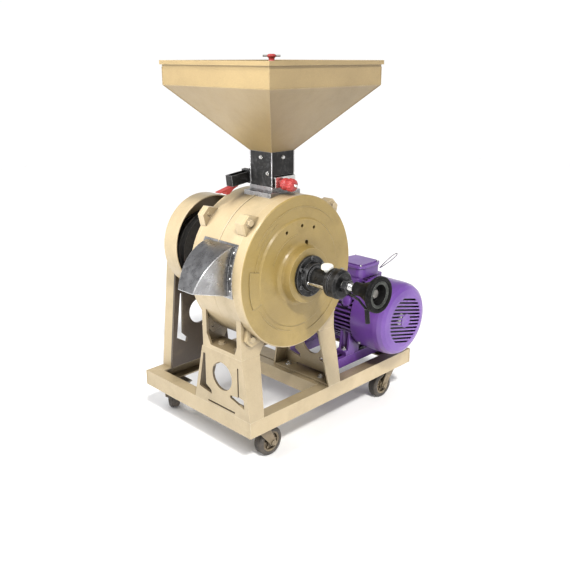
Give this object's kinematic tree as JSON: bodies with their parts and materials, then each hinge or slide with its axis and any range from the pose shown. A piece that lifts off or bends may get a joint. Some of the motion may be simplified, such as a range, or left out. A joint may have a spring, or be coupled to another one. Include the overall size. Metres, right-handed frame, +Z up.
{
  "type": "grain mill",
  "caption": "Belt-driven vertical stone flour mill on a wheeled channel base, with a square hopper, side chute, gap-setting hand wheel and finned electric motor.",
  "frame": {"origin": "floor level at the middle of the machine's overall length and width", "axes": "+X to the right along the front rail, +Y to the back towards the belt drive, +Z up; the shafts lie along Y"},
  "size_m": [0.9072, 0.8278, 1.147],
  "materials": {
    "beige_paint": "satin champagne enamel",
    "cover_paint": "satin olive gold enamel",
    "hopper_paint": "satin gold brown enamel",
    "purple_paint": "gloss purple enamel",
    "black_paint": "semi-gloss black",
    "neck_paint": "worn black paint",
    "galvanized_sheet": "zinc coated sheet",
    "bright_steel": "bright steel",
    "dull_steel": "dull steel",
    "cast_iron": "rough cast",
    "belt_rubber": "matte",
    "wheel_rubber": "matte with worn tread",
    "red_plastic": "gloss red",
    "white_plastic": "gloss white",
    "fan_plastic": "matte black",
    "mill_stone": "dressed emery stone"
  },
  "bodies": {
    "machine": {"front_rail": "beige_paint", "rear_rail": "beige_paint", "left_rail": "beige_paint", "right_rail": "beige_paint", "cross_rail": "beige_paint", "left_stand": "beige_paint", "right_stand": "beige_paint", "rear_stand": "beige_paint", "mill_casing": "beige_paint", "rear_cover": "beige_paint", "belt_guard": "beige_paint", "front_cover": "cover_paint", "hopper": "hopper_paint", "hopper_rim": "hopper_paint", "slide_rails": "purple_paint", "motor_frame": "purple_paint", "motor_feet": "purple_paint", "drive_end_bell": "purple_paint", "fan_cowl": "purple_paint", "terminal_box": "purple_paint", "bearing_cap": "black_paint", "adjuster_barrel": "black_paint", "adjuster_collar": "black_paint", "feed_neck": "neck_paint", "discharge_chute": "galvanized_sheet", "inlet_boot": "galvanized_sheet", "frame_bolts": "bright_steel", "mill_bolts": "bright_steel", "front_bearing": "bright_steel", "tag_loop": "bright_steel", "caster_plates": "dull_steel", "rear_bearing": "cast_iron", "drive_belts": "belt_rubber", "oil_cup": "white_plastic", "fixed_stone": "mill_stone"},
    "mill_rotor": {"main_shaft": "bright_steel", "runner_stone": "mill_stone", "stone_plate": "dull_steel", "mill_pulley": "cast_iron"},
    "motor_rotor_body": {"motor_rotor": "bright_steel", "motor_pulley": "cast_iron", "cooling_fan": "fan_plastic"},
    "thrust_slider": {"thrust_cup": "bright_steel"},
    "adjuster": {"adjusting_screw": "bright_steel", "hand_wheel": "black_paint"},
    "lock_lever_body": {"lock_lever": "black_paint"},
    "gate": {"feed_gate": "bright_steel", "gate_knob": "red_plastic"},
    "feed_lifter": {"feed_rod": "bright_steel", "feed_wing": "red_plastic"},
    "tray": {"magnet_tray": "neck_paint", "tray_handle": "red_plastic"},
    "caster_1": {"caster_fork_1": "beige_paint"},
    "wheel_1": {"caster_wheel_1": "wheel_rubber"},
    "caster_2": {"caster_fork_2": "beige_paint"},
    "wheel_2": {"caster_wheel_2": "wheel_rubber"},
    "caster_3": {"caster_fork_3": "beige_paint"},
    "wheel_3": {"caster_wheel_3": "wheel_rubber"},
    "caster_4": {"caster_fork_4": "beige_paint"},
    "wheel_4": {"caster_wheel_4": "wheel_rubber"}
  },
  "joints": [
    {"name": "mill_spin", "type": "hinge", "parent": "machine", "child": "mill_rotor", "pos_m": [-0.11544, 0.07611, 0.561], "axis": [0, 1, 0], "continuous": true},
    {"name": "motor_spin", "type": "hinge", "parent": "machine", "child": "motor_rotor_body", "pos_m": [0.30656, 0.07611, 0.323], "axis": [0, 1, 0], "continuous": true},
    {"name": "screw_feed", "type": "slide", "parent": "machine", "child": "thrust_slider", "axis": [0, 1, 0], "range_m": [-0.009, 0.0015]},
    {"name": "hand_wheel_turn", "type": "hinge", "parent": "thrust_slider", "child": "adjuster", "pos_m": [-0.11544, -0.37389, 0.561], "axis": [0, 1, 0], "range_deg": [-1080, 180]},
    {"name": "lock_lever_turn", "type": "hinge", "parent": "machine", "child": "lock_lever_body", "pos_m": [-0.11544, -0.30189, 0.561], "axis": [0, 1, 0], "range_deg": [-30, 60]},
    {"name": "gate_slide", "type": "slide", "parent": "machine", "child": "gate", "axis": [0, -1, 0], "range_m": [0, 0.06]},
    {"name": "feed_rod_lift", "type": "slide", "parent": "machine", "child": "feed_lifter", "axis": [0, 0, 1], "range_m": [0, 0.04]},
    {"name": "tray_slide", "type": "slide", "parent": "machine", "child": "tray", "axis": [-0.9945, 0, -0.1045], "range_m": [0, 0.045]},
    {"name": "caster_swivel_1", "type": "hinge", "parent": "machine", "child": "caster_1", "pos_m": [-0.23344, -0.07889, 0.091], "axis": [0, 0, 1], "continuous": true},
    {"name": "wheel_spin_1", "type": "hinge", "parent": "caster_1", "child": "wheel_1", "pos_m": [-0.19844, -0.07889, 0.045], "axis": [0, 1, 0], "continuous": true},
    {"name": "caster_swivel_2", "type": "hinge", "parent": "machine", "child": "caster_2", "pos_m": [0.37856, -0.07889, 0.091], "axis": [0, 0, 1], "continuous": true},
    {"name": "wheel_spin_2", "type": "hinge", "parent": "caster_2", "child": "wheel_2", "pos_m": [0.34356, -0.07889, 0.045], "axis": [0, -1, 0], "continuous": true},
    {"name": "caster_swivel_3", "type": "hinge", "parent": "machine", "child": "caster_3", "pos_m": [-0.23344, 0.33911, 0.091], "axis": [0, 0, 1], "continuous": true},
    {"name": "wheel_spin_3", "type": "hinge", "parent": "caster_3", "child": "wheel_3", "pos_m": [-0.21594, 0.36942, 0.045], "axis": [-0.866, 0.5, 0], "continuous": true},
    {"name": "caster_swivel_4", "type": "hinge", "parent": "machine", "child": "caster_4", "pos_m": [0.37856, 0.33911, 0.091], "axis": [0, 0, 1], "continuous": true},
    {"name": "wheel_spin_4", "type": "hinge", "parent": "caster_4", "child": "wheel_4", "pos_m": [0.34356, 0.33911, 0.045], "axis": [0, -1, 0], "continuous": true}
  ],
  "couplings": [
    {"joint": "motor_spin", "follows": "mill_spin", "ratio": 2.3108},
    {"joint": "screw_feed", "follows": "hand_wheel_turn", "m_per_rad": 0.00047746}
  ]
}
